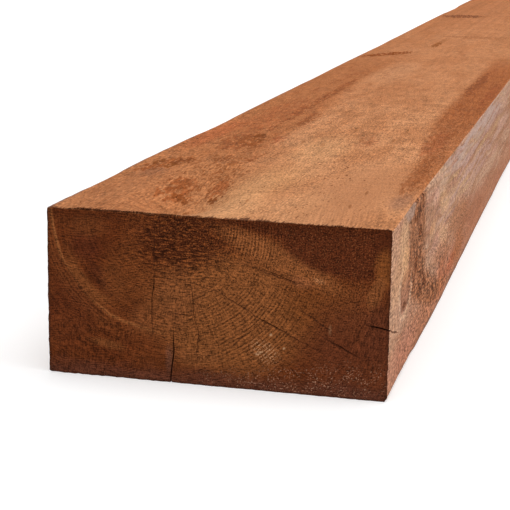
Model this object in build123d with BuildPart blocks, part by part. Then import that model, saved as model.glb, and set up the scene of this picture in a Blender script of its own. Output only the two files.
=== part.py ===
from build123d import *
import math
import os

# A railway sleeper of the garden kind: one length of softwood, sawn square out of a log,
# cut off square at both ends and soaked in brown preservative.
# It lies along X on the XY plane, with the origin in the middle of its bed. The near end
# faces -X. Left and right are those of someone who stands there and looks along it, so
# the left side faces +Y. All sizes are in millimetres and degrees.

# Sawn size, a 200 x 100 section dried a little thinner, and the easing that handling
# gives the four long arrises
length = 2400.0
width = 200.0
thickness = 98.0
arris_radius = 1.2

# The log: where its pith runs in the sleeper, and how large it was along the way.
pith_from_left = 80.0
pith_below_top = 6.3
log_overrun = 20.0
# Each pair is a station, as a share of the length, and the log's radius to spare there
# beyond the lower right arris, the one furthest from the pith. Where none is spare, the
# log's own round outside shows along that arris, which is called wane.
log_stations = [
    (0.0, -1.2),
    (0.022, -1.5),
    (0.038, -1.3),
    (0.052, 1.0),
    (0.15, 1.2),
    (0.19, -1.0),
    (0.24, -1.3),
    (0.31, -2.0),
    (0.37, -1.5),
    (0.46, -1.8),
    (0.54, 1.0),
    (0.65, 2.5),
    (0.80, 1.5),
    (0.90, -1.5),
    (1.0, -2.2),
]

# Knocks took the other arrises away in long shallow scallops. For each: the middle of the
# scallop from the near end, its length along the arris, its depth across the corner.
left_top_knocks = [
    (100.0, 90.0, 0.5),
    (352.0, 130.0, 1.1),
    (766.0, 140.0, 0.6),
    (1150.0, 260.0, 0.7),
    (length - 410.0, 240.0, 1.9),
]
right_top_knocks = [
    (128.0, 215.0, 1.5),
    (850.0, 260.0, 1.5),
    (length - 640.0, 330.0, 2.0),
]
left_bed_knocks = [
    (610.0, 220.0, 1.8),
    (length - 320.0, 170.0, 1.5),
]

# Drying checks: thin splits in the end grain, one ray cell wide at first, that open as
# the end dries. Each runs out from the pith's side towards the bark's, with a slight
# crook, and closes to nothing at a point inside the wood. For each:
#   the bearing of its middle from the pith, measured from straight down towards the right
#   the distance of its middle from the pith, and its run
#   how far it turns off its ray
#   its width where it gapes most
#   its depth along the grain, and how far the grain sinks over that depth
near_checks = [
    # the wide one, which comes out through the bed
    (-3.3, 81.3, 48.0, 2.2, 0.85, 90.0, 0.0),
    (-23.0, 41.9, 22.0, 19.5, 0.5, 40.0, 1.0),
    (9.7, 44.8, 31.0, -1.5, 0.4, 45.0, 1.0),
    (67.6, 64.1, 30.0, 6.8, 0.4, 35.0, 2.0),
    (45.6, 74.9, 23.0, 22.4, 0.45, 40.0, 2.0),
    (56.5, 114.0, 16.0, 7.8, 0.45, 35.0, 3.0),
    # the one beside the knot, which comes out through the right side
    (67.2, 129.7, 26.0, 13.8, 0.8, 60.0, 14.0),
]
far_checks = [
    (12.0, 76.0, 50.0, -2.0, 1.4, 80.0, 0.0),
    (-28.0, 48.0, 34.0, 3.0, 0.7, 45.0, 1.0),
    (58.0, 88.0, 36.0, -4.0, 0.8, 50.0, 2.0),
]
# A check's crook: its centre line leaves the straight by this share of its run, one way a
# third of the way out and the other way at two thirds, where it has also closed a little.
check_crook = 0.015
check_closing = 0.8
# How far a check's mouth stands out of the end, so that it is cut clean through the face,
# and how far a bite stands out of its corner and reaches to each side of it
mouth_proud = 0.5
knock_proud = 1.0
knock_reach = 12.0

pith_y = width / 2 - pith_from_left
pith_z = thickness - pith_below_top
right_y = -width / 2
left_y = width / 2
near_x = -length / 2
far_x = length / 2


# The log, turned about its pith: only as much of its round outside as the stations say
# ever reaches into the sleeper.
arris_reach = math.hypot(pith_y - right_y, pith_z)
log_line = [(near_x + share * length, arris_reach + spare) for share, spare in log_stations]
with BuildPart() as log:
    with BuildSketch(Plane((0, pith_y, pith_z), x_dir=(1, 0, 0), z_dir=(0, -1, 0))):
        with BuildLine():
            near_butt = Line((near_x - log_overrun, 0), (near_x - log_overrun, log_line[0][1]))
            near_bark = Line(near_butt @ 1, log_line[0])
            bark = Spline(*log_line)
            far_bark = Line(bark @ 1, (far_x + log_overrun, log_line[-1][1]))
            far_butt = Line(far_bark @ 1, (far_x + log_overrun, 0))
            Line(far_butt @ 1, near_butt @ 0)
        make_face()
    revolve(axis=Axis((0, pith_y, pith_z), (1, 0, 0)))


# The checks, each a flat-sided splinter of air: its mouth is a thin crooked outline at the
# end of the sleeper, and its sides meet at a point inside.
def add_check(end_x, inward, bearing, distance, run, turn, gape, depth, grain_fall):
    """Add one check at the end face at end_x, going inward, which is +1 or -1 along X."""
    middle_y = pith_y - distance * math.sin(math.radians(bearing))
    middle_z = pith_z - distance * math.cos(math.radians(bearing))
    slope = math.radians(bearing + turn)
    out_along = Vector(0, -math.sin(slope), -math.cos(slope))
    mouth_plane = Plane(
        (end_x - inward * mouth_proud, middle_y, middle_z),
        x_dir=out_along,
        z_dir=(-inward, 0, 0),
    )
    sixth = run / 6
    crook = check_crook * run
    wide = gape / 2
    narrow = check_closing * wide
    with BuildSketch(mouth_plane, mode=Mode.PRIVATE) as mouth:
        with BuildLine():
            Polyline(
                (-3 * sixth, 0),
                (-sixth, crook - wide),
                (sixth, -crook - narrow),
                (3 * sixth, 0),
                (sixth, narrow - crook),
                (-sixth, crook + wide),
                close=True,
            )
        make_face()
    point = Vertex(end_x + inward * depth, middle_y, middle_z - grain_fall)
    loft(sections=[mouth.sketch, point])


with BuildPart() as checks:
    for check in near_checks:
        add_check(near_x, 1, *check)
    for check in far_checks:
        add_check(far_x, -1, *check)


# The knocks: each is a bite out of its arris, hollow along the arris and flat across it,
# of the length and depth given, counted from the eased arris.
eased_away = arris_radius * (math.sqrt(2) - 1)


def add_knocks(arris_y, arris_z, knocks):
    """Add the bites out of the arris at (arris_y, arris_z), square across its corner."""
    outward = Vector(0, math.copysign(1, arris_y), 1 if arris_z > 0 else -1).normalized()
    for station, run, depth in knocks:
        hollow_radius = (run**2 / 4 + depth**2) / (2 * depth)
        deepest = -eased_away - depth
        half_run = math.sqrt(hollow_radius**2 - (hollow_radius + deepest - knock_proud) ** 2)
        arris = Plane(
            (near_x + station, arris_y, arris_z),
            x_dir=(1, 0, 0),
            z_dir=Vector(1, 0, 0).cross(outward),
        )
        with BuildSketch(arris, mode=Mode.PRIVATE) as bite:
            with BuildLine():
                hollow = ThreePointArc((-half_run, knock_proud), (0, deepest), (half_run, knock_proud))
                Line(hollow @ 1, hollow @ 0)
            make_face()
        extrude(bite.sketch, amount=knock_reach, both=True)


with BuildPart() as knocked_away:
    add_knocks(left_y, thickness, left_top_knocks)
    add_knocks(right_y, thickness, right_top_knocks)
    add_knocks(left_y, 0, left_bed_knocks)


# The sleeper: the sawn section run the whole length, kept where there was log to saw,
# then knocked and split.
with BuildPart() as sleeper:
    with BuildSketch(Plane.YZ.offset(near_x)):
        with Locations((0, thickness / 2)):
            section = Rectangle(width, thickness)
        fillet(section.vertices(), arris_radius)
    extrude(amount=length)
    add(log.part, mode=Mode.INTERSECT)
    add(knocked_away.part, mode=Mode.SUBTRACT)
    add(checks.part, mode=Mode.SUBTRACT)

sleeper.part.label = "sleeper"

os.makedirs("parts", exist_ok=True)
export_step(sleeper.part, "parts/sleeper.step")
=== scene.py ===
import itertools
import math

import bpy
import numpy as np
from mathutils import Matrix, Vector


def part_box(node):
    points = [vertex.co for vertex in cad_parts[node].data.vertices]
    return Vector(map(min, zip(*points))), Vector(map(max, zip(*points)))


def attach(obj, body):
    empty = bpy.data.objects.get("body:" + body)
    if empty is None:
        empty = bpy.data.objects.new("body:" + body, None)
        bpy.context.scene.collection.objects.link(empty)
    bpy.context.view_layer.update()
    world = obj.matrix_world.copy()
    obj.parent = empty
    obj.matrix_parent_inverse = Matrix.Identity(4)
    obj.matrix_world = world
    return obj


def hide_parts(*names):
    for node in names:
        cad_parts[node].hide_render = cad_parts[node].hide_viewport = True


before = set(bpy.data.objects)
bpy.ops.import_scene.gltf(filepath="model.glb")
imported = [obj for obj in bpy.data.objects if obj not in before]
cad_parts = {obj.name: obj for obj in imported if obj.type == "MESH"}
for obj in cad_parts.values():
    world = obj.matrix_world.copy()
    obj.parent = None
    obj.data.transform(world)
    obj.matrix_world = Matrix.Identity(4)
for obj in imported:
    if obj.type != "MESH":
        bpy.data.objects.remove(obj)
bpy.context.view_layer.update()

# The sleeper is one length of softwood, sawn square out of a log whose pith runs just under
# its top, crosscut at both ends and steeped in brown preservative. It is worked out in
# millimetres, with X counted from the near end, and goes into the mesh in metres.
lowest, highest = [1000 * np.array(corner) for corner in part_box("sleeper")]
length, width, thickness = highest - lowest
arris_radius = 1.2
pith_y = 20.0
pith_z = 91.7

# How much log there was to spare beyond the lower right arris, by shares of the length, as
# in the CAD: where it is less than nothing, the round outside of the log shows.
log_shares = [0.0, 0.022, 0.038, 0.052, 0.15, 0.19, 0.24, 0.31, 0.37, 0.46, 0.54, 0.65, 0.8, 0.9, 1.0]
log_spares = [-1.2, -1.5, -1.3, 1.0, 1.2, -1.0, -1.3, -2.0, -1.5, -1.8, 1.0, 2.5, 1.5, -1.5, -2.2]

# The knocks along the other arrises: station, run and depth of each, by the side and
# the height of its arris.
knocks = {
    (1, 1): [(100, 90, 0.5), (352, 130, 1.1), (766, 140, 0.6), (1150, 260, 0.7), (length - 410, 240, 1.9)],
    (-1, 1): [(128, 215, 1.5), (850, 260, 1.5), (length - 640, 330, 2.0)],
    (1, -1): [(610, 220, 1.8), (length - 320, 170, 1.5)],
}

# The drying checks of each end: bearing of the middle from straight down towards the right,
# its distance from the pith, run, turn off the ray, gape, depth and fall of the grain.
near_checks = [
    (-3.3, 81.3, 48, 2.2, 0.85, 90, 0),
    (-23, 41.9, 22, 19.5, 0.5, 40, 1),
    (9.7, 44.8, 31, -1.5, 0.4, 45, 1),
    (67.6, 64.1, 30, 6.8, 0.4, 35, 2),
    (45.6, 74.9, 23, 22.4, 0.45, 40, 2),
    (56.5, 114, 16, 7.8, 0.45, 35, 3),
    (67.2, 129.7, 26, 13.8, 0.8, 60, 14),
]
far_checks = [
    (12, 76, 50, -2, 1.4, 80, 0),
    (-28, 48, 34, 3, 0.7, 45, 1),
    (58, 88, 36, -4, 0.8, 50, 2),
]


def sawn_section(way_round):
    """Y, Z and the outward direction at each distance way_round from the right end of the bed.
    The section is a rectangle smaller by the arris radius, carried outwards by a circle of that
    radius, which makes a quarter turn at each corner and none along a side."""
    half = width / 2 - arris_radius
    low, high = arris_radius, thickness - arris_radius
    quarter = math.pi / 2 * arris_radius
    marks = np.cumsum([0, 2 * half, quarter, high - low, quarter, 2 * half, quarter, high - low, quarter])
    core_y = np.interp(way_round, marks, [-half, half, half, half, half, -half, -half, -half, -half])
    core_z = np.interp(way_round, marks, [low, low, low, high, high, high, high, low, low])
    facing = np.radians(np.interp(way_round, marks, [-90, -90, 0, 0, 90, 90, 180, 180, 270]))
    out_y, out_z = np.cos(facing), np.sin(facing)
    return core_y + arris_radius * out_y, core_z + arris_radius * out_z, out_y, out_z


def spread(count, span, crowding):
    """Stations from 0 towards span, as close together at each place as crowding says of it: equal
    steps of the running total of the crowding, turned back into places."""
    fine_count = 40001
    fine = np.linspace(0, span, fine_count)
    total = np.cumsum(crowding(fine))
    total = (total - total[0]) / (total[-1] - total[0])
    return np.interp(np.arange(count) / count, total, fine)


def ease(low, high, value):
    """0 below low, 1 above high, and three times the square less twice the cube between."""
    share = np.clip((value - low) / (high - low), 0, 1)
    return share * share * (3 - 2 * share)


def rough(x, y, z, seed):
    """Smooth noise between -1 and 1: a random number at each whole corner of space, hashed from the
    corner and the seed, and eased between the eight corners around each place."""
    axis_primes = (73856093, 19349663, 83492791)
    seed_prime, last_prime = 374761393, 1274126177
    low_half, whole_word = 0xFFFF, 0xFFFFFFFF
    places = np.broadcast_arrays(x, y, z)
    corners = [np.floor(place).astype(np.int64) for place in places]
    eased = [ease(0, 1, place - corner) for place, corner in zip(places, corners)]
    total = 0.0
    for step in itertools.product((0, 1), repeat=3):
        mixed = seed * seed_prime
        weight = 1.0
        for corner, share, up, prime in zip(corners, eased, step, axis_primes):
            mixed = mixed ^ ((corner + up) * prime)
            weight = weight * (share if up else 1 - share)
        mixed = ((mixed ^ (mixed >> 13)) * last_prime) & whole_word
        mixed = (mixed ^ (mixed >> 16)) & low_half
        total = total + weight * (mixed / (low_half / 2) - 1)
    return total


# The net of the surface. Its lines start at the pith of the near end, fan out over that end,
# run along the length and close on the pith of the far end. They crowd where a check opens.
girth = 2 * (width + thickness - 4 * arris_radius) + 2 * math.pi * arris_radius
line_count = 500
near_rows, long_rows, far_rows = 50, 125, 20


def line_crowding(way_round):
    """Lines to a millimetre: a half, with more on the top and the right, more again round the
    arrises, and four to the half width of the band that each check bends."""
    y, z, out_y, out_z = sawn_section(way_round)
    crowding = 0.5 + 0.5 * (out_z > 0.9) + 0.25 * (out_y < -0.9)
    crowding = crowding + 1.6 * (np.abs(out_y * out_z) > 0.01)
    bearing = np.degrees(np.arctan2(pith_y - y, pith_z - z))
    for check_bearing, distance, _, _, gape, _, _ in near_checks + far_checks:
        nearest = np.argmin(np.abs(bearing - check_bearing))
        reach = math.hypot(y[nearest] - pith_y, z[nearest] - pith_z)
        half_band = 0.75 * gape * max(reach / distance, 1)
        crowding = crowding + 4 / half_band * (np.abs(way_round - way_round[nearest]) < half_band)
    return crowding


def row_crowding(along):
    """Rows to a millimetre along the length: 1.3 mm apart at the near end, and ever wider, plus
    some that lie 5 mm apart at the far end."""
    return 1 / (1.3 + 0.035 * np.minimum(along, 1000)) + 1 / (5 + 0.12 * (length - along))


way_round = spread(line_count, girth, line_crowding)
section_y, section_z, out_y, out_z = sawn_section(way_round)
fan = np.linspace(0, 1, near_rows + 1)[1:]
stations = spread(long_rows, length, row_crowding)[1:]
share = np.concatenate([fan, np.ones(long_rows - 1), np.linspace(1, 0, far_rows + 1)[:-1]])[:, None]
along = np.concatenate([np.zeros(near_rows), stations, np.full(far_rows, length)])[:, None]
on_near = (np.arange(len(share)) < near_rows)[:, None]
on_far = (np.arange(len(share)) >= near_rows + long_rows - 1)[:, None]

# Wane: nothing reaches further from the pith than the log did. Between the shares given its
# radius eases from one to the next.
at_share = along / length
spare = np.zeros_like(at_share) + log_spares[0]
for share_a, share_b, spare_a, spare_b in zip(log_shares, log_shares[1:], log_spares, log_spares[1:]):
    spare = spare + (spare_b - spare_a) * ease(share_a, share_b, at_share)
log_radius = math.hypot(pith_y + width / 2, pith_z) + spare
reach = np.hypot(section_y - pith_y, section_z - pith_z)
kept = np.minimum(1, log_radius / reach)
rim_y = pith_y + (section_y - pith_y) * kept
rim_z = pith_z + (section_z - pith_z) * kept

# Knocks: a shallow hollow along the arris, flat across the corner, which nothing stands out of
eased_away = arris_radius * (math.sqrt(2) - 1)
for (side, up), hollows in knocks.items():
    for station, run, depth in hollows:
        hollow = depth * (1 - (2 * (along - station) / run) ** 2)
        out = (side * (rim_y - side * width / 2) + up * (rim_z - (thickness if up > 0 else 0))) / math.sqrt(2)
        cut = np.where(hollow > 0, np.maximum(0, out + eased_away + hollow), 0) / math.sqrt(2)
        rim_y = rim_y - side * cut
        rim_z = rim_z - up * cut

x = along + np.zeros_like(rim_y)
y = pith_y + (rim_y - pith_y) * share
z = pith_z + (rim_z - pith_z) * share

# Checks: the lines are bent to run along each crooked split, and those inside it sink into
# the end, deepest at its middle, as a V that narrows to nothing at both tips. The crook is a
# share of the run, and where it turns back the mouth has closed a little, as in the CAD.
check_crook = 0.015
check_closing = 0.8
# The bend fades out so many millimetres beyond the tips, and as many to the sides, more where
# the lines lean more. Along the length it and the sinking end after so many depths.
beyond_tips = 8
least_bend, bend_to_lean = 6, 2.5
bend_depths, sunk_depths = 3, 2.2
gaping = np.zeros_like(x)
for checks, inward, from_end in ((near_checks, 1, along), (far_checks, -1, length - along)):
    for bearing, distance, run, turn, gape, depth, fall in checks:
        slope = math.radians(bearing)
        outward = (pith_y - y) * math.sin(slope) + (pith_z - z) * math.cos(slope)
        sideways = (pith_z - z) * math.sin(slope) - (pith_y - y) * math.cos(slope)
        off = outward - distance
        lean = -math.tan(math.radians(turn))
        crook = -check_crook * run * inward
        knots = [-run / 2 - beyond_tips, -run / 2, -run / 6, run / 6, run / 2, run / 2 + beyond_tips]
        path = [0, -lean * run / 2, crook - lean * run / 6, lean * run / 6 - crook, lean * run / 2, 0]
        line = np.interp(off, knots, path)
        half = np.interp(off, knots, [0, 0, gape / 2, check_closing * gape / 2, 0, 0])
        lens = np.maximum(0, 1 - np.abs(off) / (run / 2))
        inside = np.maximum(0, 1 - np.abs(sideways) / np.maximum(half, 0.01)) * lens
        end_face = on_near if inward > 0 else on_far
        rim_row = near_rows - 1 if inward > 0 else near_rows + long_rows - 1
        bend_width = least_bend + bend_to_lean * np.max(np.abs(path))
        bent = np.maximum(0, 1 - (sideways / bend_width) ** 2) ** 2
        bend_end = bend_depths * depth
        fading = 1 - ease(0, bend_end, from_end)
        y = y + line * bent * fading * math.cos(slope)
        z = z - line * bent * fading * math.sin(slope)
        rim_sunk = inside[rim_row] * (1 - ease(0, sunk_depths * depth, from_end))
        sunk = np.where(end_face, inside, rim_sunk) * depth
        x = x + inward * sunk
        grain = np.minimum(sunk, from_end + np.where(end_face, sunk, 0)) / depth * fall
        dip = bent * fall * np.where(end_face, 0, np.interp(from_end, [0, depth, bend_end], [0, 1, 0]))
        z = z - np.where(end_face, grain, dip * (inside[rim_row].max() > 0))
        gaping = gaping + np.where(end_face, inside, 0)

# Relief: the saw's waves and torn fibres stand out along each face's own direction. Each is a
# height in millimetres times noise, whose blotches are as long as its places are divided by.
on_sides = ~(on_near | on_far)
right_face = (out_y < -0.5) & on_sides
fuzz = 0.10 * rough(x / 2.6, y / 1.3, z / 1.3, 1) + 0.07 * rough(x / 7, y / 2.5, z / 2.5, 2)
waves = 0.16 * rough(x / 70, y / 40, z / 40, 3) + 0.08 * rough(x / 14, y / 40, z / 40, 4)

# On the right, a band of torn wood leans away from the end as it goes down, and the knot's
# eye has a small pit at its tip.
torn_top_x, torn_lean, torn_reach = 91, 0.7, 26
torn_x = torn_top_x + torn_lean * (94 - z)
torn = np.exp(-(((x - torn_x) / torn_reach) ** 2)) * ease(8, 30, z) * right_face
torn_relief = torn * (0.55 * rough(x / 2.4, y / 9, z / 14, 5) - 0.35)
pit_x, pit_z, pit_reach, pit_depth = 56, 41, 3.0, 1.2
pit_fall = np.exp(-(((x - pit_x) / pit_reach) ** 2) - ((z - pit_z) / pit_reach) ** 2)
knot_pit = -pit_depth * pit_fall * right_face

# The crosscut saw left the rim of the near end ragged, over its last millimetres
ragged_depth = 2.5
near_rim = np.clip(1 - x / ragged_depth, 0, 1)
ragged = near_rim * (0.16 * rough(x / 1.5, y / 0.9, z / 0.9, 6) - 0.05)


def near_swell(across):
    """How far the top's edge at the near end swells up, as a hump left of the middle, and sinks
    away towards the right."""
    return 0.7 * np.exp(-(((across - 50) / 38) ** 2)) - 0.7 * ease(-55, -95, across)


# It dried a little out of square: slow swells of its faces, of under a millimetre each
by_near_end = np.exp(-((x / 160) ** 2)) * on_sides
left_swell = 0.6 * np.exp(-(((x - 190) / 60) ** 2)) - 0.7 * ease(300, 420, x) * (1 - ease(1350, 1650, x))
top_swell = (near_swell(y) * by_near_end + left_swell * ease(60, 98, y) * on_sides) * ease(88, 97, z)
bed_swell = 0.45 * ease(20, -60, y) * by_near_end * (1 - ease(1, 10, z))
left_lean = 0.013 * (z - 48) * by_near_end * (out_y > 0.5)
right_swell = 0.8 * np.exp(-(((x - 220) / 80) ** 2)) * ease(60, 10, z) * right_face

# All of it comes together. The ends have a roughness of their own, and bitten rims.
rim_share = 0.98
floor_gap = 0.02
stand = (fuzz + waves + torn_relief + knot_pit) * (share == 1) + ragged * (share > rim_share)
y = y + out_y * stand + left_lean - right_swell
z = z + out_z * stand + top_swell + bed_swell
face_fuzz = 0.10 * rough(y / 1.6, z / 1.3, along / 9, 7) + 0.22 * rough(y / 11, z / 8, along / 9, 8)
edge_bite = 0.3 * (share > rim_share) * rough(y / 0.9, z / 0.9, along / 9, 9)
x = x + np.where(on_near | on_far, face_fuzz + edge_bite, 0)
z = np.maximum(z, floor_gap)


# The shader tools: a wire is one socket, and arithmetic on it adds its Math nodes.
class Wire:
    """One socket of a material's nodes, or with no socket the material's empty tree."""

    def __init__(self, tree, socket=None):
        self.tree = tree
        self.socket = socket

    def node(self, kind, settings=None, sockets=None, out=None):
        """Add a shader node of this kind, give it its settings, then the value or the wire of each
        socket by its identifier. The result is the wire of the output named out, or of the first."""
        made = self.tree.nodes.new("ShaderNode" + kind)
        for name, value in (settings or {}).items():
            setattr(made, name, value)
        inputs = {socket.identifier: socket for socket in made.inputs}
        for name, value in (sockets or {}).items():
            if isinstance(value, Wire):
                self.tree.links.new(value.socket, inputs[name])
            else:
                inputs[name].default_value = value
        outputs = {socket.identifier: socket for socket in made.outputs}
        return Wire(self.tree, outputs[out] if out else next(iter(made.outputs), None))

    def maths(self, operation, *values):
        """The Math node for this operation on one or two values."""
        sockets = dict(zip(("Value", "Value_001"), values))
        return self.node("Math", {"operation": operation}, sockets)

    def __add__(self, other):
        return self.maths("ADD", self, other)

    def __radd__(self, other):
        return self.maths("ADD", other, self)

    def __sub__(self, other):
        return self.maths("SUBTRACT", self, other)

    def __rsub__(self, other):
        return self.maths("SUBTRACT", other, self)

    def __mul__(self, other):
        return self.maths("MULTIPLY", self, other)

    def __rmul__(self, other):
        return self.maths("MULTIPLY", other, self)

    def __truediv__(self, other):
        return self.maths("DIVIDE", self, other)

    def __neg__(self):
        return self.maths("MULTIPLY", self, -1)

    def __abs__(self):
        return self.maths("ABSOLUTE", self)


def vectors(operation, one, other, out="Vector", **more):
    """The Vector Math node for this operation on one and other."""
    sockets = {"Vector": one, "Vector_001": other, **more}
    return one.node("VectorMath", {"operation": operation}, sockets, out)


def parts_of(vector):
    """The X, Y and Z of a vector."""
    return [vector.node("SeparateXYZ", None, {"Vector": vector}, axis) for axis in "XYZ"]


def ramp(value, start, end):
    """0 at start, 1 at end and eased between; start may be the larger."""
    settings = {"interpolation_type": "SMOOTHSTEP"}
    return value.node("MapRange", settings, {"Value": value, "From Min": start, "From Max": end})


def at_most(value, limit=1.0):
    """The value, or the limit where that is less."""
    return value.maths("MINIMUM", value, limit)


def at_least(value, limit):
    """The value, or the limit where that is more."""
    return value.maths("MAXIMUM", value, limit)


def ridges(value, apart):
    """A wave between -1 and 1, whose crests lie so far apart."""
    return value.maths("SINE", value * (2 * math.pi / apart))


def noise(place, detail, out):
    """The noise whose blotches are about one unit large."""
    return place.node("TexNoise", None, {"Vector": place, "Scale": 1.0, "Detail": detail}, out)


def stretched(place, size, seed):
    """The place in units of size along X, Y and Z, moved off by the seed."""
    return vectors("MULTIPLY_ADD", place, [1 / extent for extent in size], Vector_002=[seed] * 3)


def mottle(place, size, detail=2.0, seed=0.0):
    """Noise about one half, whose blotches are as large as size says along X, Y and Z."""
    return noise(stretched(place, size, seed), detail, "Fac")


def pushed(place, size, amount, seed=0.0):
    """The place pushed about by up to about half the amount, each way on its own."""
    centred = vectors("SUBTRACT", noise(stretched(place, size, seed), 2.0, "Color"), (0.5, 0.5, 0.5))
    return vectors("MULTIPLY_ADD", centred, amount, Vector_002=place)


def length_of(vector):
    """How long a vector is."""
    return vector.node("VectorMath", {"operation": "LENGTH"}, {"Vector": vector}, "Value")


endless = 1e6


def reach_from(place, middle, reach, turn=0.0):
    """How far out from the middle of an ellipsoid a place lies, which is 1 on its surface. It is
    turned about the axis on which its reach is endless."""
    rotation = [math.radians(turn) * (extent == endless) for extent in reach]
    sockets = {"Vector": place, "Location": middle, "Rotation": rotation, "Scale": reach}
    return length_of(place.node("Mapping", {"vector_type": "TEXTURE"}, sockets))


def patch(place, middle, reach, turn=0.0, soft=0.5):
    """1 inside an ellipsoid and 0 outside, eased over its rim by soft to both sides."""
    return ramp(reach_from(place, middle, reach, turn), 1 + soft, 1 - soft)


def paint(red, green, blue):
    """A colour as it is read off a screen, turned by the screen's curve into an even scale of light."""
    return [((part / 255 + 0.055) / 1.055) ** 2.4 for part in (red, green, blue)] + [1.0]


def blend(share, under, over):
    """The colour over laid on the colour under, as thickly as share says."""
    under = under if isinstance(under, Wire) else paint(*under)
    sockets = {"Factor_Float": share, "A_Color": under, "B_Color": paint(*over)}
    return share.node("Mix", {"data_type": "RGBA"}, sockets, "Result_Color")


def shaded(colour, strength):
    """A colour made lighter or darker as a whole."""
    sockets = {"Vector": colour, "Scale": strength}
    return colour.node("VectorMath", {"operation": "SCALE"}, sockets, "Vector")


def stained(colour, place, strength, oval, soft, stains, strokes=None):
    """The colour with stains laid on it one by one: each an oval of its face by its middle and reach,
    how thickly it lies and its colour, then its turn, if any, and a softness of its own. Strokes
    break each of them up, and leave it thick in its middle and sparse outside."""
    for middle, reach, share, tint, *own in stains:
        turn, own_soft = own + [0, soft][len(own):]
        stain = oval(place, middle, reach, turn, own_soft)
        if strokes is not None:
            stain = ramp(stain * (1 + (strokes - 0.5) * 5), 0.4, 0.8)
        colour = blend(stain * strength * share, colour, tint)
    return colour


def place_in(start):
    """Where on the piece: millimetres, with X from the near end, Y and Z as in the frame."""
    metres = start.node("TexCoord", out="Object")
    return vectors("MULTIPLY_ADD", metres, [1000] * 3, Vector_002=(length / 2, 0, 0))


def growth(place):
    """The way out from the pith, and how far out along it counts in growth: a year laid down more
    wood towards the left than towards the right, and both wander a little along the log."""
    more_to_left = 0.16
    wandered = pushed(place, (500, 28, 28), (0, 5, 5), 3.0)
    from_pith = vectors("MULTIPLY", vectors("SUBTRACT", wandered, (0, pith_y, pith_z)), (0, 1, 1))
    lopsided = vectors("DOT_PRODUCT", from_pith, (0, more_to_left, 0), "Value")
    return from_pith, length_of(from_pith) - lopsided


def finished(start, colour, roughness, height, strength):
    """Close a material: its colour, its roughness and its relief in millimetres. Dry wood hardly
    shines at all."""
    millimetre, shine = 0.001, 0.05
    bump = start.node("Bump", None, {"Height": height, "Distance": millimetre, "Strength": strength})
    sockets = {"Base Color": colour, "Roughness": roughness, "Normal": bump, "Specular IOR Level": shine}
    wood = start.node("BsdfPrincipled", None, sockets)
    start.node("OutputMaterial", None, {"Surface": wood})


def new_material(name):
    """An empty material and the wire to start its nodes from."""
    material = bpy.data.materials.new(name)
    material.use_nodes = True
    material.node_tree.nodes.clear()
    return material, Wire(material.node_tree)


# End grain: it drinks the preservative and turns dark, darkest round the heart. Years show as
# rings, rays as fine spokes, and the saw left rows of short dashes across.


def end_oval(place, middle, reach, turn=0.0, soft=0.5):
    """An oval patch on the ends, by Y and Z."""
    return patch(place, (0, *middle), (endless, *reach), turn, soft)


end_grain, start = new_material("end_grain")
place = place_in(start)
drifted = pushed(place, (30, 12, 12), (0, 8, 8), 11.0)
slightly = pushed(place, (30, 4, 4), (0, 2.2, 2.2), 5.0)
along_x, across, up = parts_of(place)
near = ramp(along_x, 1300, 1000)
from_pith, pith_reach = growth(place)
_, ray_y, ray_z = parts_of(from_pith)
round_pith = start.maths("ARCTAN2", ray_y, -ray_z)

# Its broad zones on the near end, each a soft oval: its middle and reach, how thickly it lies
# and its colour, and for some a turn and a softness
colour = blend(ramp(mottle(drifted, (30, 26, 20), 3.0), 0.35, 0.65), (91, 43, 18), (104, 53, 24))
heart_wood = end_oval(drifted, (-8, 44), (46, 35), 0, 0.3)
colour = blend(heart_wood * 0.9, colour, (128, 76, 40))
colour = stained(colour, drifted, near, end_oval, 0.5, (
    ((51, 62), (14, 18), 0.6, (111, 60, 28)),
    ((36, 37), (15, 9), 0.6, (124, 71, 38), -15),
    ((22, 50), (11, 17), 0.5, (120, 70, 39)),
    ((-64, 50), (26, 17), 0.7, (112, 62, 28)),
    ((-88, 24), (34, 34), 0.8, (92, 46, 26), 0, 0.4),
    ((88, 36), (17, 24), 0.5, (84, 38, 19), 20, 0.4),
    ((60, 18), (32, 12), 0.4, (98, 48, 22)),
))
colour = stained(colour, slightly, near, end_oval, 0.5, (
    ((18, 86), (27, 19), 0.85, (78, 37, 17), -12),
    ((-36, 78), (36, 7), 0.85, (132, 78, 42), 24, 0.4),
    ((-74, 86), (37, 17), 0.9, (80, 37, 18), 8, 0.15),
    ((-34, 96.5), (26, 6.5), 0.85, (78, 36, 17), 9, 0.25),
    ((-97, 76), (6, 10), 0.85, (121, 68, 31), 0, 0.4),
    ((-92, 62), (4, 9), 0.8, (124, 72, 38), 18, 0.4),
    ((-94, 38), (8, 16), 0.5, (84, 42, 25)),
    ((77, 77), (9, 8), 0.6, (80, 35, 19)),
    ((69, 60), (3.5, 9), 0.6, (78, 37, 19), -30),
    ((76, 89), (11, 6), 0.5, (110, 60, 30), 0, 0.6),
    ((61, 57), (7, 10), 0.4, (112, 62, 31), 0, 0.6),
    ((64, 20), (10, 2.5), 0.6, (120, 70, 36), 10),
    ((9, 16), (14, 5), 0.5, (128, 76, 42)),
    ((-50, 65), (6, 3), 0.6, (142, 84, 50), 10),
    ((-60, 66.5), (3, 1.1), 0.7, (176, 116, 74), 15, 0.7),
    ((-67, 39), (0.8, 2.5), 0.6, (150, 104, 72), 0, 0.7),
))

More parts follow.
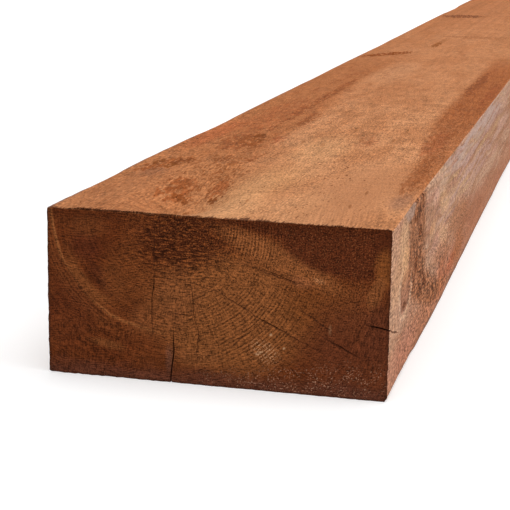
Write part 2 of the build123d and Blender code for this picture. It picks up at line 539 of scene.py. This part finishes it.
# A bright band of years stands out on the left, wide in its middle and thin towards both ends,
# and thin years follow it on its outside.
band_reach, band_widening = 61, 10.6
band_wander = (mottle(place, (60, 7, 7), 1.0, 3.0) - 0.5) * 2
off_band = length_of(from_pith) - band_reach - round_pith * band_widening + band_wander
left_of_pith = ramp(round_pith, 0.08, 0.2) * near
off_middle = abs(round_pith - 1.0)
outer_years = ramp(off_band, -1.5, 0.5) * ramp(off_band, 12, 5) * ramp(round_pith, 0.5, 0.75) * near
colour = blend(outer_years * 0.35, colour, (112, 62, 32))
wide_part = ramp(off_band, -9, -4.5) * ramp(off_band, 1.0, -2.5) * ramp(off_middle, 0.36, 0.14)
thin_part = ramp(abs(off_band), 1.5, 0.3) * (0.4 + 0.6 * ramp(off_middle, 0.1, 0.3))
colour = blend(wide_part * left_of_pith * 0.65, colour, (130, 75, 38))
colour = blend(thin_part * left_of_pith * 0.65, colour, (146, 88, 48))
thin_years = ridges(off_band, 2.1) * outer_years

low_strip = ramp(up + 9 * mottle(place, (9, 14, 5)), 17, 6)
colour = blend(low_strip * 0.75, colour, (90, 51, 38))
top_strip = ramp(up + 12 * mottle(place, (9, 6, 4)), 95, 103)
colour = blend(top_strip * (0.8 - 0.4 * ramp(across, 10, 50)), colour, (72, 32, 13))
smudge = end_oval(slightly, (26.5, 14), (2, 7), 0, 0.7) * near
colour = blend(smudge * 0.4, colour, (104, 72, 60))


# The fine pattern: rows of the saw, years, rays, and dashes where the heart's wood tore
def on_rings(across_rings, degrees_round, drifting=endless):
    """Noise that follows the rings, each blotch so many millimetres across them and so many degrees
    round, and drawn afresh every so many millimetres further out."""
    degrees_in_radian = 57.3
    bearing = round_pith * (degrees_in_radian / degrees_round)
    sockets = {"X": pith_reach / across_rings, "Y": bearing, "Z": pith_reach / drifting}
    return noise(start.node("CombineXYZ", None, sockets), 1.0, "Fac")


grit = mottle(place, (1.2, 0.8, 0.75), 1.0)
sawn_across = mottle(place, (60, 3.2, 0.8), 1.0, 3.0)
sawn_upright = mottle(place, (60, 0.85, 3.4), 1.0, 3.5)
medium = mottle(place, (6, 5, 3.2), 2.0, 7.0)
ring_dashes = on_rings(0.8, 2.2, 60)
year_lines = on_rings(0.95, 23)
rays = on_rings(13, 1.1)
ray_dashes = on_rings(2.4, 0.9)
upright = end_oval(drifted, (70, 18), (34, 26)) + end_oval(drifted, (-95, 38), (18, 26))
upright = at_most(upright) * 0.8
year_width = 2.15
wide_years = start.maths("FRACT", pith_reach / year_width)
ring_zones = end_oval(slightly, (-20, 36), (25, 22), 40) * 0.6
ring_zones = ring_zones + end_oval(slightly, (-23, 86), (19, 10))
late_wood = (ramp(wide_years, 0.2, 0.75) - ramp(wide_years, 0.8, 1.0) - 0.45) * (ring_zones + 0.15) * near
core = end_oval(drifted, (19, 80), (29, 21), 0, 0.6) * near
row_wander = mottle(place, (60, 34, 12), 1.0, 2.0) * 14
rows = ridges(up + row_wander, 1.18)
row_share = (0.35 + 0.65 * ramp(across, -30, 30)) * (0.4 + 1.2 * mottle(place, (9, 6, 4), 1.0, 12.0))
dashes = mottle(pushed(place, (60, 11, 8), (0, 0, 3), 6.0), (60, 4.6, 1.0), 1.5, 2.0)
dash_share = 0.35 + 1.3 * core
upper_right = ramp(up - 0.35 * across, 60, 92) * ramp(across, -96, -88)
grit_share = 2.0 + 1.8 * upper_right
tone = 1.0 + (grit - 0.5) * grit_share + (medium - 0.5) * 0.8 + (rays - 0.5) * (0.5 + 0.5 * heart_wood)
tone = tone + (sawn_across - 0.5) * 1.5 * (1 - upright) + (sawn_upright - 0.5) * 2.2 * upright
tone = tone + ((ring_dashes - 0.5) * 1.3 + (ray_dashes - 0.5) * (1.5 - 0.8 * ring_zones)) * heart_wood
tone = tone + (year_lines - 0.5) - late_wood * 0.7 - thin_years * 0.25
tone = tone + (dashes - 0.5) * dash_share * 2.3 + rows * row_share * 0.2
colour = shaded(colour, at_least(tone, 0.3))
flecks = ramp(dashes + grit * 0.9, 1.02, 1.18) * core
colour = blend(flecks * 0.5, colour, (172, 98, 46))
speckled = upper_right * 0.35 + end_oval(drifted, (20, 56), (22, 14)) * near * 0.45
speckled = speckled * ramp(mottle(place, (1.2, 1.0, 0.9), 1.0, 44.0), 0.58, 0.70)
colour = blend(speckled, colour, (166, 100, 58))

# Hair cracks that have not opened yet, dark thin lines along the rays, each by its middle, its
# reach along its ray and its turn
hair_reach = 0.32
hairlines = 0.0
for middle, reach_out, turn in (
    ((35.6, 80), 19, 90), ((36.8, 38), 8, 88), ((9.7, 25), 10, 92), ((-32, 68.5), 17, 17),
    ((-42, 35), 21, 25), ((-72, 30), 15, 26), ((-11, 51), 15, 29), ((-14, 28), 6, 130),
    ((-58, 44), 12, 33), ((20, 41), 8, 0),
):
    hairlines = hairlines + end_oval(slightly, middle, (reach_out, hair_reach), turn, 0.7)
colour = blend(at_most(hairlines) * near * 0.6, colour, (56, 26, 13))

# Pale dust and splinters along the foot, and the rims of the years that stand proud above it
dust = ramp(mottle(place, (1.5, 1.05, 0.95), 1.0, 31.0), 0.56, 0.68)
dust = dust * ramp(mottle(place, (9, 7, 5), 2.0, 6.0), 0.4, 0.56)
dust_zone = 0.04 + 0.96 * end_oval(drifted, (-52, 7), (58, 9), -6)
colour = blend(dust * dust_zone * near * 0.7, colour, (182, 134, 106))
raised = end_oval(slightly, (-30, 23), (8, 5), 30) * ramp(grit, 0.48, 0.6) * ramp(wide_years, 0.7, 0.3)
for middle in ((-33, 33), (-41, 26), (-25, 21.5), (-27, 22.5)):
    raised = raised + end_oval(slightly, middle, (0.8, 0.6), 0, 0.7)
colour = blend(at_most(raised) * near * 0.7, colour, (206, 160, 120))

rim_shade = ramp(abs(across), 97.6, 99.8) + ramp(up, 1.8, 0.2)
colour = blend(at_most(rim_shade) * 0.6, colour, (58, 30, 19))
# Painted shade inside the open checks, darkest where a check gapes
check_shade = start.node("Attribute", {"attribute_name": "gaping"}, out="Fac")
colour = blend(ramp(check_shade, 0.0, 0.3), colour, (42, 19, 10))
height = grit * 0.4 + sawn_across * 0.3 + dashes * dash_share * 0.8 + medium * 0.6 - late_wood * 0.3
height = height + rays * 0.35 + rows * row_share * 0.12 - hairlines * 0.4
finished(start, colour, 0.9, height, 1.0)

# Sawn top and bed: cut close to the pith, orange tan and rough to the hand, with pits, red
# stains, fine slanting saw lines and the dark marks of the battens it was stacked on.
top_z = 98


def top_oval(place, middle, reach, turn=0.0, soft=0.5):
    """An oval patch on the top, by X and Y."""
    return patch(place, (*middle, top_z), (*reach, endless), turn, soft)


sawn_flat, start = new_material("sawn_flat")
place = place_in(start)
along_x, across, up = parts_of(place)
on_top = ramp(up, 40, 60)
ragged_place = pushed(pushed(place, (60, 14, 14), (10, 4, 0), 2.0), (9, 2.6, 2.6), (22, 8, 0), 8.0)
_, rag_y, _ = parts_of(ragged_place)
clouds = mottle(ragged_place, (90, 22, 22), 5.0)
calm_part = top_oval(ragged_place, (104, -62), (113, 24))
colour = blend(ramp(clouds, 0.36, 0.64), (178, 118, 77), (192, 133, 91))
colour = blend(calm_part * 0.7, colour, (184, 125, 85))
further = ramp(along_x, 380, 755) * 0.35 + ramp(along_x, 1320, 1890) * 0.35
colour = blend(further, colour, (168, 104, 64))
left_edge = 47 - 21 * ramp(along_x, 19, 71) + 7 * ramp(along_x, 123, 208) + 14 * ramp(along_x, 453, 708)
left_band = ramp(rag_y - left_edge, -9, 8) * (1 - 0.5 * ramp(along_x, 850, 1100))
colour = blend(left_band * on_top * (0.5 + 0.35 * ramp(along_x, 40, 260)), colour, (167, 103, 61))
right_edge = -86 + 20 * ramp(along_x, 142, 472)
right_band = ramp(right_edge - rag_y, -7, 7) * ramp(along_x, 57, 151) * ramp(along_x, 1180, 850)
colour = blend(right_band * on_top * (0.7 + 0.3 * ramp(along_x, 330, 520)), colour, (159, 93, 52))

# Its stains on the top, each a ragged oval as on the end: a few pale or grey ones, rust-red and
# brown ones, the marks of the battens further along, and short dark scratches
speckle = mottle(place, (5.0, 1.3, 1.3), 2.0, 4.0)
strokes = mottle(pushed(place, (30, 8, 8), (0, 4, 0), 9.0), (9, 2.6, 2.6), 2.0, 4.0)
colour = stained(colour, ragged_place, on_top, top_oval, 0.6, (
    ((113, 4), (70, 20), 0.5, (203, 149, 101), -10),
    ((38, 0), (44, 16), 0.5, (206, 154, 108)),
    ((47, -32), (50, 18), 0.25, (204, 149, 104)),
    ((264, -6), (60, 18), 0.6, (206, 152, 106)),
    ((134, 80), (16, 8), 0.6, (134, 88, 62), 0, 0.5),
    ((85, -92), (24, 6), 0.6, (146, 102, 78)),
    ((321, 88), (75, 9), 0.5, (186, 98, 58)),
    ((1123, 60), (45, 14), 0.2, (200, 138, 96)),
    ((831, 25), (100, 18), 0.3, (190, 138, 100)),
))
colour = stained(colour, ragged_place, on_top, top_oval, 0.6, (
    ((57, 76), (95, 26), 0.4, (158, 97, 60)),
    ((91, 52), (17, 8), 0.75, (146, 78, 38), -15),
    ((115, 52), (20, 7), 0.6, (150, 83, 45)),
    ((119, 31), (24, 5), 0.7, (148, 78, 38), 5),
    ((98, 27), (9, 4), 0.9, (118, 62, 24)),
    ((91, 47), (8, 5), 0.75, (130, 68, 28)),
    ((111, 55), (16, 7), 0.6, (136, 72, 32)),
    ((64, 37), (9, 2.8), 0.6, (126, 70, 30)),
    ((38, 44), (20, 3.5), 0.3, (152, 88, 50)),
    ((13, 28), (9, 2.5), 0.8, (112, 64, 34)),
    ((166, 82), (34, 9), 0.8, (138, 72, 30), -15),
    ((179, 72), (17, 6), 0.85, (120, 62, 24), -15),
    ((162, 76), (8, 3.5), 0.75, (118, 64, 22)),
    ((173, 88), (12, 4), 0.7, (122, 66, 24)),
    ((200, 50), (16, 5), 0.7, (132, 72, 34)),
    ((182, 39), (12, 3.5), 0.6, (130, 70, 30)),
    ((213, 30), (22, 4), 0.65, (140, 76, 40)),
    ((283, 60), (44, 12), 0.7, (146, 78, 40)),
    ((295, 52), (38, 9), 0.6, (136, 74, 30), 8),
    ((313, 50), (14, 5), 0.8, (116, 60, 22)),
    ((295, 46), (12, 3.5), 0.8, (118, 62, 22)),
    ((267, 49), (8, 3), 0.7, (126, 68, 28)),
    ((304, 33), (20, 5), 0.6, (150, 74, 40)),
    ((425, 36), (48, 5), 0.7, (132, 70, 34)),
    ((566, 53), (210, 5), 0.7, (134, 72, 36)),
    ((434, 68), (120, 16), 0.45, (156, 82, 44)),
    ((189, -88), (80, 6), 0.55, (134, 72, 34)),
    ((330, -82), (70, 9), 0.6, (146, 77, 42)),
    ((312, -32), (28, 8), 0.45, (150, 84, 48)),
    ((746, -72), (110, 6), 0.75, (124, 66, 34)),
    ((642, -93), (110, 5), 0.6, (144, 74, 40)),
    ((1044, 68), (50, 14), 1.0, (128, 62, 12), -32, 0.5),
    ((1204, 28), (48, 4.5), 0.9, (130, 70, 22)),
    ((1293, 27), (60, 3), 0.5, (150, 92, 54)),
    ((1345, -8), (26, 46), 0.6, (146, 88, 52)),
    ((1086, -18), (40, 4), 0.5, (154, 96, 60), 10),
    ((1798, 58), (40, 36), 0.95, (112, 60, 30), -20),
), strokes)
colour = stained(colour, place, on_top, top_oval, 0.4, (
    ((59, -65.5), (6, 0.9), 0.7, (128, 76, 40), 6),
    ((105, -67.5), (6, 0.9), 0.7, (128, 76, 40), 5),
    ((42, 7), (5, 1), 0.5, (140, 84, 42), 5),
    ((57, -4), (5, 0.9), 0.6, (140, 84, 42), 8),
    ((94, -12), (6, 0.9), 0.5, (146, 88, 50), 5),
    ((325, -50), (10, 1), 0.6, (140, 84, 46), 4),
    ((381, -52.5), (12, 1), 0.6, (142, 88, 50), 4),
    ((298, 14), (10, 1.4), 0.6, (142, 88, 50), 6),
    ((286, -3), (10, 1.6), 0.5, (150, 92, 52), 6),
    ((370, -13), (14, 1.2), 0.5, (146, 92, 52), 6),
    ((319, -26), (10, 1.2), 0.6, (140, 84, 44), 6),
    ((312, -34), (18, 2.5), 0.4, (152, 86, 48), 4, 0.5),
))
rust = ramp(mottle(ragged_place, (46, 12, 12), 4.0, 14.0), 0.50, 0.66)
rust = rust * ramp(along_x, 150, 320) * ramp(along_x, 1500, 700)
rust = rust * (0.3 + 0.7 * ramp(rag_y, 0, 40)) * on_top * ramp(strokes, 0.42, 0.56)
colour = blend(rust * 0.5, colour, (142, 75, 39))

# The fine pattern: speckle, slanting lines of the saw, its feed marks across, and small pits
fine = mottle(place, (3.2, 1.1, 1.1), 2.0)
medium = mottle(place, (18, 4.2, 4.2), 3.0, 7.0)
saw_slant = math.radians(-7)
slanting = start.node("Mapping", None, {"Vector": place, "Rotation": (0, 0, saw_slant)})
saw_lines = mottle(slanting, (70, 1.15, 30), 0.0, 5.0)
saw_share = 0.15 + 0.6 * top_oval(ragged_place, (10, -70), (40, 34))
feed_marks = mottle(pushed(place, (30, 30, 30), (12, 0, 0), 3.0), (5.5, 26, 60), 0.0, 15.0)
lively = 1.0 - 0.6 * calm_part + 0.3 * ramp(along_x, 80, 300) - 0.45 * ramp(along_x, 350, 800)
fine_share = 1.7 - 0.7 * ramp(along_x, 350, 900)
medium_share = 0.55 - 0.4 * calm_part + 0.25 * ramp(along_x, 150, 300)
tone = 1.0 + ((fine - 0.5) * fine_share + (medium - 0.5) * medium_share + (speckle - 0.5) * 0.8) * lively
tone = tone + (saw_lines - 0.5) * saw_share * 0.7 + (feed_marks - 0.5) * 0.3 * lively
long_grain = mottle(pushed(place, (300, 30, 30), (0, 8, 0), 21.0), (500, 5, 5), 3.0, 22.0)
tone = tone + (long_grain - 0.5) * (0.15 + 0.4 * ramp(along_x, 800, 1500))
colour = shaded(colour, tone)
pit_zone = 0.25 + 0.75 * ramp(mottle(place, (80, 22, 22), 2.0, 33.0), 0.42, 0.6)
pits = ramp(mottle(place, (6.0, 1.5, 1.5), 1.0, 41.0), 0.66, 0.76) * pit_zone * ramp(along_x, 1300, 500)
colour = blend(pits * 0.8, colour, (118, 62, 28))
pitted = top_oval(ragged_place, (132, 38), (160, 20), 5, 0.4) * ramp(along_x, 47, 123)
pitted = pitted * 0.8 + left_band * 0.4 + right_band * 0.8
pitted = at_most(pitted) * on_top * ramp(along_x, 1200, 700)
small_flecks = ramp(mottle(pushed(place, (16, 4, 4), (0, 3, 0), 5.0), (8, 1.9, 1.9), 1.5, 52.0), 0.54, 0.63)
long_flecks = ramp(mottle(place, (30, 3.4, 3.4), 2.0, 54.0), 0.53, 0.62) * ramp(along_x, 200, 320)
flecks = at_least(small_flecks, long_flecks) * pitted
colour = blend(flecks * 0.65, colour, (134, 72, 34))
teeth = mottle(place, (30, 1.5, 30), 2.0, 19.0) + (mottle(place, (60, 13, 60), 1.0, 23.0) - 0.5) * 0.5
rim_fuzz = ramp(along_x - 26 * (teeth - 0.42), 1.5, -1.5)
colour = blend(rim_fuzz * 0.85, colour, (80, 40, 22))
# A painted highlight: grey light along the rounded left arris of the top
left_arris_highlight = ramp(across, 97.8, 99.2)
colour = blend(left_arris_highlight * 0.7, colour, (136, 114, 106))
height = fine * 0.5 + medium * 0.6 + speckle * 0.45 + saw_lines * 0.35 * saw_share
height = height + feed_marks * 0.3 - pits * 0.6
height = (height - flecks * 0.4) * (1 - 0.6 * ramp(along_x, 350, 1000))
finished(start, colour, 0.88, height, 1.0)

# Sawn sides: paler and pinker, cut through the outer wood. On the right the grain parts round
# a knot near the end, with a brown eye in a pale rim and a band of torn dark wood behind it.
right_y = -100


def right_oval(place, middle, reach, turn=0.0, soft=0.5):
    """An oval patch on the right side, by X and Z."""
    return patch(place, (middle[0], right_y, middle[1]), (reach[0], endless, reach[1]), turn, soft)


sawn_side, start = new_material("sawn_side")
place = place_in(start)
along_x, across, up = parts_of(place)
on_right = ramp(across, 20, -20)
knot_x, knot_z = 58.5, 50.0
knot_spread, knot_stretch = 420, 3
behind_knot, above_knot = along_x - knot_x, up - knot_z
parting = (behind_knot * behind_knot / knot_stretch + above_knot * above_knot) / knot_spread
flowing = above_knot * (1 - on_right / (parting + 1))
wavy = mottle(place, (130, 40, 40), 2.0, 8.0) * 22
grain_line = start.node("CombineXYZ", None, {"X": along_x, "Y": across, "Z": flowing + wavy})
streaks = mottle(grain_line, (60, 60, 2.6), 4.0)
wide_streaks = mottle(grain_line, (150, 60, 10), 3.0, 5.0)
colour = blend(ramp(wide_streaks, 0.38, 0.62), (150, 106, 80), (174, 135, 109))
colour = blend(ramp(streaks, 0.52, 0.70) * 0.5, colour, (138, 90, 64))
colour = blend(ramp(streaks, 0.44, 0.30) * 0.5, colour, (198, 161, 134))
rosy = ramp(mottle(place, (90, 20, 14), 3.0, 23.0), 0.5, 0.65)
colour = blend(rosy * 0.4, colour, (174, 126, 108))
ragged_place = pushed(place, (26, 9, 9), (20, 0, 7), 2.0)
rag_x, _, rag_z = parts_of(ragged_place)
foot_wood = ramp(rag_z + 14 * mottle(place, (50, 9, 9), 3.0, 3.0), 46, 16)
colour = blend(foot_wood * 0.75, colour, (160, 104, 75))

# Its zones on the right, as on the end: pale and yellow wood before and beside the knot, and
# red brown wood low down further along
colour = stained(colour, ragged_place, on_right, right_oval, 0.5, (
    ((9, 50), (26, 70), 0.6, (182, 137, 108)),
    ((48, 80), (19, 17), 0.75, (190, 148, 112)),
    ((25, 62), (18, 12), 0.4, (192, 146, 108), 0, 0.6),
    ((57, 66), (13, 12), 0.6, (200, 150, 106)),
    ((179, 64), (14, 5), 0.45, (200, 150, 108)),
    ((236, 48), (26, 8), 0.5, (196, 152, 112), 15),
    ((238, 72), (28, 9), 0.5, (196, 152, 112), 15),
    ((194, 81), (14, 7), 0.5, (190, 142, 122)),
    ((38, 12), (70, 11), 0.5, (170, 114, 92)),
    ((295, 15), (30, 7), 0.6, (162, 84, 52), 0, 0.6),
    ((345, 16), (38, 11), 0.6, (148, 86, 46), 0, 0.6),
    ((238, 17), (28, 13), 0.6, (148, 84, 54)),
    ((236, 33), (60, 9), 0.6, (148, 94, 64), 8, 0.6),
    ((349, 38), (80, 13), 0.7, (150, 94, 60), 6, 0.6),
    ((491, 22), (90, 14), 0.4, (162, 100, 70)),
    ((425, 30), (130, 16), 0.35, (140, 90, 62), 4, 0.6),
    ((378, 62), (110, 9), 0.3, (168, 126, 96), 6, 0.6),
))
tints = mottle(grain_line, (140, 60, 5), 2.0, 31.0)
tinted = ramp(along_x, 150, 260) * ramp(along_x, 900, 500) * ramp(rag_z, 38, 64) * on_right
colour = blend(ramp(tints, 0.50, 0.62) * tinted * 0.55, colour, (180, 146, 136))
colour = blend(ramp(tints, 0.46, 0.34) * tinted * 0.4, colour, (186, 148, 104))

# The knot: its eye, the eye's rim and tip, and behind it the wood that the saw tore out dark
# in a band that bends away from the end as it goes down
eye_reach = reach_from(ragged_place, (knot_x, right_y, 51), (18, endless, 11))
eye = ramp(eye_reach, 1.1, 0.8) * on_right
colour = blend(eye * 0.6, colour, (152, 98, 68))
eye_rim = ramp(abs(eye_reach - 1.0), 0.22, 0.05) * ramp(rag_z + rag_x * 0.25, 80, 60) * on_right
eye_tip = right_oval(place, (56.5, 41.5), (6, 1.9)) * on_right
lower_wood = at_least(58 - rag_z, 0.0)
torn_middle = 103 + lower_wood * lower_wood * 0.053
torn_zone = ramp(abs(rag_x - torn_middle), 49, 21) * ramp(rag_z, 2, 16) * on_right
colour = blend(torn_zone * 0.85, colour, (142, 90, 58))
torn_fibres = mottle(pushed(place, (40, 20, 20), (22, 0, 3), 6.0), (4.6, 9, 10), 2.0, 13.0)
blotches = 0.4
for middle, reach in (
    ((108, 84), (16, 14)), ((100, 50), (13, 12)), ((113, 62), (13, 10)), ((143, 40), (19, 12)),
    ((172, 33), (15, 6)), ((194, 20), (19, 9)), ((125, 93), (9, 6)),
):
    blotches = blotches + 0.7 * right_oval(ragged_place, middle, reach, 0, 0.6)
fibre_share = 0.15 * ramp(torn_fibres, 0.38, 0.5) + 1.05 * ramp(torn_fibres, 0.52, 0.58)
torn_dark = at_most(torn_zone * blotches * fibre_share)
colour = blend(torn_dark * 0.92, colour, (92, 48, 24))
pale_rim = ramp(abs(eye_reach - 1.42), 0.26, 0.06) * ramp(rag_z + rag_x * 0.25, 84, 62) * on_right
colour = blend(pale_rim * 0.45, colour, (206, 166, 134))
split = right_oval(pushed(place, (12, 12, 12), (0, 0, 3), 4.0), (16, 36.5), (18, 0.5), 17)
dark_marks = eye_rim * 0.6 + eye_tip + split * on_right
colour = blend(at_most(dark_marks) * 0.8, colour, (92, 50, 28))

# Under the top arris a painted highlight, grey light on the rounded arris, in a small corner and a long band
corner_highlight = right_oval(place, (73, 98), (24, 8.5), 0, 0.2) * on_right
colour = blend(corner_highlight * 0.8, colour, (150, 122, 106))
highlight_edge = 18 * (mottle(place, (50, 9, 5), 3.0) - 0.5)
band_highlight = ramp(up + highlight_edge, 76, 88) * ramp(along_x + highlight_edge * 8, 160, 320)
band_highlight = band_highlight * ramp(along_x, 1000, 600) * ramp(wide_streaks + streaks, 1.15, 0.9)
colour = blend(band_highlight * 0.7, colour, (174, 150, 138))
painted_highlight = corner_highlight + band_highlight * 0.6

# The fine pattern: upright hatching of the saw, strongest near the end, short ticks where the
# crosscut came out, and specks
fine = mottle(place, (4.5, 1.1, 1.1), 2.0)
hatching = mottle(pushed(place, (30, 12, 12), (16, 0, 3), 4.0), (7.5, 9, 5), 2.0, 17.0)
# The hatching and the fine pattern fade under the painted highlight of the top arris
hatch_share = 0.75 + 0.4 * ramp(along_x, 450, 60) + 0.8 * torn_zone - 0.5 * painted_highlight
low_wood = ramp(up, 62, 40) * ramp(along_x, 500, 250) * ramp(along_x, 30, 110)
fine_share = 1.9 + 0.6 * ramp(along_x, 300, 30) + 2.0 * torn_zone + 2.2 * low_wood
fine_share = fine_share * (1 - 0.6 * painted_highlight)
tone = 1.0 + (fine - 0.5) * fine_share + (hatching - 0.5) * hatch_share * 1.2
ticks = ridges(up + 3 * fine, 1.5) * ramp(along_x - 6 * fine, 6, 0)
tone = tone - ticks * 0.3
colour = shaded(colour, at_least(tone, 0.4))
specks = ramp(mottle(place, (7, 1.6, 1.6), 1.0, 43.0), 0.68, 0.78)
colour = blend(specks * 0.55, colour, (110, 62, 44))
foot_shade = ramp(up - 3 * mottle(place, (20, 9, 9), 2.0, 9.0), 3.5, 0.5)
colour = blend(foot_shade * 0.5, colour, (104, 74, 58))
height = fine * 0.4 + hatching * 0.6 * hatch_share + torn_dark * -0.9 + streaks * 0.3 - dark_marks * 0.8
finished(start, colour, 0.88, height, 1.0)

# The sleeper's mesh: two poles at the pith and the net between them, with end grain on both
# ends, the flat finish on the top and bed, and the side finish left and right.


def build_piece(name, corners, faces, material_of_face, materials):
    """A finished mesh object from corners in millimetres, with X from the near end, smooth except
    across its creases."""
    crease_angle = 35
    mesh = bpy.data.meshes.new(name)
    metres = (np.asarray(corners) + [lowest[0], 0, 0]) / 1000
    mesh.from_pydata(metres.tolist(), [], faces)
    for material in materials:
        mesh.materials.append(material)
    mesh.polygons.foreach_set("material_index", np.asarray(material_of_face, dtype=np.int32))
    mesh.polygons.foreach_set("use_smooth", np.ones(len(faces), dtype=bool))
    mesh.set_sharp_from_angle(angle=math.radians(crease_angle))
    mesh.update()
    piece = bpy.data.objects.new(name, mesh)
    bpy.context.scene.collection.objects.link(piece)
    return piece


net = np.stack([x, y, z], axis=-1).reshape(-1, 3)
poles = np.array([[0.0, pith_y, pith_z], [length, pith_y, pith_z]])
corners = np.concatenate([net, poles])
line = np.arange(line_count)
next_line = (line + 1) % line_count
row_start = (np.arange(len(share) - 1) * line_count)[:, None]
here, beside = row_start + line, row_start + next_line
quads = np.stack([here + line_count, beside + line_count, beside, here], axis=-1)
last_row = len(net) - line_count
near_pole = np.full(line_count, len(net))
near_fan = np.stack([line, next_line, near_pole], axis=-1)
far_fan = np.stack([last_row + next_line, last_row + line, near_pole + 1], axis=-1)
end_finish, flat_finish, side_finish = 0, 1, 2
sideways = (out_y + out_y[next_line]) ** 2 > (out_z + out_z[next_line]) ** 2
finish_of_line = np.where(sideways, side_finish, flat_finish)
finish = np.where(on_near[1:] | on_far[:-1], end_finish, finish_of_line[None, :])
faces = quads.reshape(-1, 4).tolist() + near_fan.tolist() + far_fan.tolist()
finishes = np.concatenate([finish.ravel(), np.full(2 * line_count, end_finish)])
sleeper_wood = build_piece("sleeper_wood", corners, faces, finishes, [end_grain, sawn_flat, sawn_side])
# How far inside an open check each point of an end lies, which the end grain darkens as painted shade
gaping_values = np.concatenate([gaping.ravel(), [0, 0]])
sleeper_wood.data.attributes.new("gaping", "FLOAT", "POINT").data.foreach_set("value", gaping_values)
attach(sleeper_wood, "root")
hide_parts("sleeper")

# Fibres that the crosscut saw left standing along the top of the near end, and a few along its
# right: dark slivers up to two millimetres long, each a narrow pyramid rooted in the arris.
dice = np.random.default_rng(7)
top_count, right_count = 2300, 160
top_root, right_root_y = 0.55, -99.3
count = top_count + right_count
on_top_edge = np.arange(count) < top_count
root_y = np.where(on_top_edge, dice.uniform(-98, 98, count), right_root_y)
root_z = np.where(on_top_edge, thickness - top_root, dice.uniform(6, 92, count))
tufts = 0.5 + 0.5 * rough(root_y / 5, root_z / 5, 0.0, 21)
tall = (0.3 + dice.uniform(0, 0.6, count) + 1.6 * tufts**3) * np.where(on_top_edge, 1, 0.4)
thick = dice.uniform(0.1, 0.22, count)
risen = root_z + np.where(on_top_edge, near_swell(root_y), 0)
roots = np.stack([dice.uniform(0.2, 0.9, count), root_y, risen], axis=-1)
lean_x = dice.uniform(-0.4, 0.5, count)
lean_y = np.where(on_top_edge, dice.uniform(-0.8, 0.4, count), -1.0)
lean_z = np.where(on_top_edge, 1.0, dice.uniform(-0.6, 0.4, count))
lean = np.stack([lean_x, lean_y, lean_z], axis=-1)
lean = lean / np.linalg.norm(lean, axis=-1, keepdims=True)
aside = np.cross(lean, [1.0, 0.0, 0.0])
aside = aside / np.linalg.norm(aside, axis=-1, keepdims=True)
across_both = np.cross(lean, aside)
third = 2 * math.pi / 3
pyramid = []
for turn in (0, third, 2 * third):
    pyramid.append(roots + thick[:, None] * (math.cos(turn) * aside + math.sin(turn) * across_both))
pyramid.append(roots + tall[:, None] * lean)
corners = np.stack(pyramid, axis=1).reshape(-1, 3)
sides = np.array([[0, 2, 1], [0, 1, 3], [1, 2, 3], [2, 0, 3]])
faces = (np.arange(count)[:, None, None] * 4 + sides).reshape(-1, 3)
fibre_brown, start = new_material("fibre_brown")
place = place_in(start)
colour = blend(ramp(mottle(place, (2, 1.5, 1.5)), 0.45, 0.65), (62, 31, 16), (112, 62, 34))
finished(start, colour, 0.9, mottle(place, (1, 1, 1)), 0.2)
one_finish = np.zeros(len(faces))
crosscut_fibres = build_piece("crosscut_fibres", corners, faces.tolist(), one_finish, [fibre_brown])
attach(crosscut_fibres, "root")

# The floor is plain white and soft in its shade. The camera sees it a little lighter than it
# is, so that it is white where the sleeper doesn't shade it.


def seen_directly(start):
    """1 for what the camera sees, also in a mirror or through glass, and 0 for light on its way."""
    kinds = ("Camera", "Glossy", "Transmission")
    direct, mirrored, through = [start.node("LightPath", out=f"Is {kind} Ray") for kind in kinds]
    return at_least(at_least(direct, mirrored), through)


floor_reach = 40.0
ways = ((-1, -1), (1, -1), (1, 1), (-1, 1))
floor_mesh = bpy.data.meshes.new("floor")
floor_mesh.from_pydata([(floor_reach * x, floor_reach * y, 0) for x, y in ways], [], [(0, 1, 2, 3)])
floor = bpy.data.objects.new("floor", floor_mesh)
bpy.context.scene.collection.objects.link(floor)
floor_white, start = new_material("floor_white")
matt = start.node("BsdfDiffuse", None, {"Color": (0.8, 0.8, 0.8, 1)})
glow = start.node("Emission", None, {"Color": (1, 1, 1, 1), "Strength": 0.3})
both = start.node("AddShader", None, {"Shader": matt, "Shader_001": glow})
sockets = {"Fac": seen_directly(start), "Shader": matt, "Shader_001": both}
start.node("OutputMaterial", None, {"Surface": start.node("MixShader", None, sockets)})
floor_mesh.materials.append(floor_white)

# Studio light: an even room, which the camera sees as white, and three very soft lamps, the
# strongest overhead, one from the right and the weakest from the front.
world = bpy.data.worlds.new("room")
world.use_nodes = True
world.node_tree.nodes.clear()
start = Wire(world.node_tree)
brightness = 0.52 + seen_directly(start) * 0.48
room = start.node("Background", None, {"Color": (1, 1, 1, 1), "Strength": brightness})
start.node("OutputWorld", None, {"Surface": room})
bpy.context.scene.world = world


def add_lamp(name, towards, strength, softness):
    """A far-off soft lamp that shines along the direction towards."""
    lamp = bpy.data.lights.new(name, "SUN")
    lamp.energy = strength
    lamp.angle = math.radians(softness)
    holder = bpy.data.objects.new(name, lamp)
    holder.rotation_mode = "QUATERNION"
    holder.rotation_quaternion = Vector(towards).to_track_quat("-Z", "Y")
    bpy.context.scene.collection.objects.link(holder)


add_lamp("overhead", (-0.05, 0.15, -1.0), 1.35, 60)
add_lamp("from_the_right", (-0.1, 1.0, -0.3), 1.1, 50)
add_lamp("from_the_front", (1.0, 0.2, -0.35), 0.7, 60)

# The camera stands where the photograph was taken from, a long lens close to the near end.
camera_data = bpy.data.cameras.new("camera")
camera_data.sensor_width = 36.0
camera_data.lens = 104.68
camera_data.clip_start = 0.05
camera_data.clip_end = 200.0
camera = bpy.data.objects.new("camera", camera_data)
bpy.context.scene.collection.objects.link(camera)
eye = Vector((-1.98117, -0.21498, 0.26381))
look = Vector((0.946442, 0.232329, -0.224212))
over = Vector((0.213869, 0.069131, 0.974413))
stance = Matrix((look.cross(over), over, -look)).transposed().to_4x4()
camera.matrix_world = Matrix.Translation(eye) @ stance
bpy.context.scene.camera = camera
bpy.context.scene.view_settings.view_transform = "Standard"
